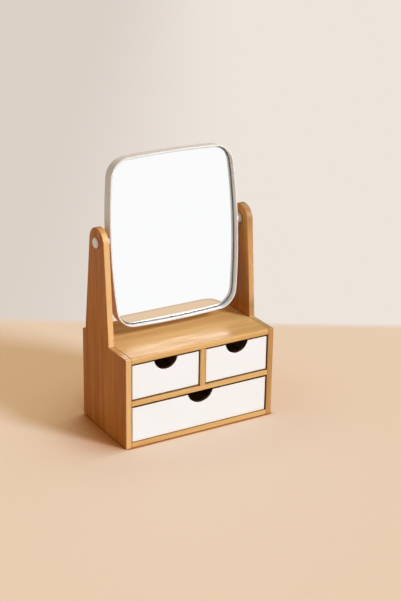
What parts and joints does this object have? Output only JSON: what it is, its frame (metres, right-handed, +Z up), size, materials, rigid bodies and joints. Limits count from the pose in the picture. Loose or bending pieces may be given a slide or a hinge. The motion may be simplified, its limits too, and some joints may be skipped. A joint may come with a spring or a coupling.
{
  "type": "vanity mirror with drawers",
  "caption": "Table-top vanity: wooden chest of small white-fronted drawers with finger notches, and a rounded white-framed mirror that tilts between two tapered arms.",
  "frame": {"origin": "on the table, under the middle of the cabinet", "axes": "+X to the right as seen from the front, along the mirror's pivot line; +Y from the front to the back; +Z up"},
  "size_m": [0.205, 0.1094, 0.3283],
  "materials": {
    "bamboo": "satin clear-varnished bamboo with fine straight grain",
    "drawer_wood": "plain sanded wood, unvarnished",
    "plywood": "thin plywood, sanded",
    "dowel_wood": "raw beech dowel",
    "white_faced_board": "hardboard with a satin white face and dark brown cut edges",
    "white_frame": "satin white moulded plastic",
    "white_backing": "matt white sheet with a fine texture",
    "white_cap": "satin white moulded plastic",
    "nylon": "natural nylon",
    "mirror": "silvered glass",
    "steel": "zinc-plated",
    "brass": "turned brass"
  },
  "bodies": {
    "cabinet": {"left_side_panel": "bamboo", "right_side_panel": "bamboo", "top_board": "bamboo", "middle_shelf": "bamboo", "bottom_board": "bamboo", "centre_divider": "bamboo", "back_panel": "plywood", "cabinet_dowels": "dowel_wood", "divider_dowels": "dowel_wood", "back_panel_brads": "steel"},
    "upper_left_drawer": {"upper_left_drawer_front": "white_faced_board", "upper_left_drawer_left_side": "drawer_wood", "upper_left_drawer_right_side": "drawer_wood", "upper_left_drawer_back": "drawer_wood", "upper_left_drawer_floor": "plywood", "upper_left_drawer_brads": "steel"},
    "upper_right_drawer": {"upper_right_drawer_front": "white_faced_board", "upper_right_drawer_left_side": "drawer_wood", "upper_right_drawer_right_side": "drawer_wood", "upper_right_drawer_back": "drawer_wood", "upper_right_drawer_floor": "plywood", "upper_right_drawer_brads": "steel"},
    "lower_drawer": {"lower_drawer_front": "white_faced_board", "lower_drawer_left_side": "drawer_wood", "lower_drawer_right_side": "drawer_wood", "lower_drawer_back": "drawer_wood", "lower_drawer_floor": "plywood", "lower_drawer_brads": "steel"},
    "mirror": {"mirror_frame": "white_frame", "mirror_glass": "mirror", "backing_board": "white_backing", "pivot_inserts": "brass", "pivot_washers": "nylon", "left_pivot_bolt": "steel", "left_pivot_cap": "white_cap", "right_pivot_bolt": "steel", "right_pivot_cap": "white_cap"}
  },
  "joints": [
    {"name": "upper_left_drawer_slide", "type": "slide", "parent": "cabinet", "child": "upper_left_drawer", "axis": [0, -1, 0], "range_m": [0, 0.08]},
    {"name": "upper_right_drawer_slide", "type": "slide", "parent": "cabinet", "child": "upper_right_drawer", "axis": [0, -1, 0], "range_m": [0, 0.08]},
    {"name": "lower_drawer_slide", "type": "slide", "parent": "cabinet", "child": "lower_drawer", "axis": [0, -1, 0], "range_m": [0, 0.08]},
    {"name": "mirror_tilt", "type": "hinge", "parent": "cabinet", "child": "mirror", "pos_m": [0, 0.01585, 0.2323], "axis": [1, 0, 0], "continuous": true}
  ]
}
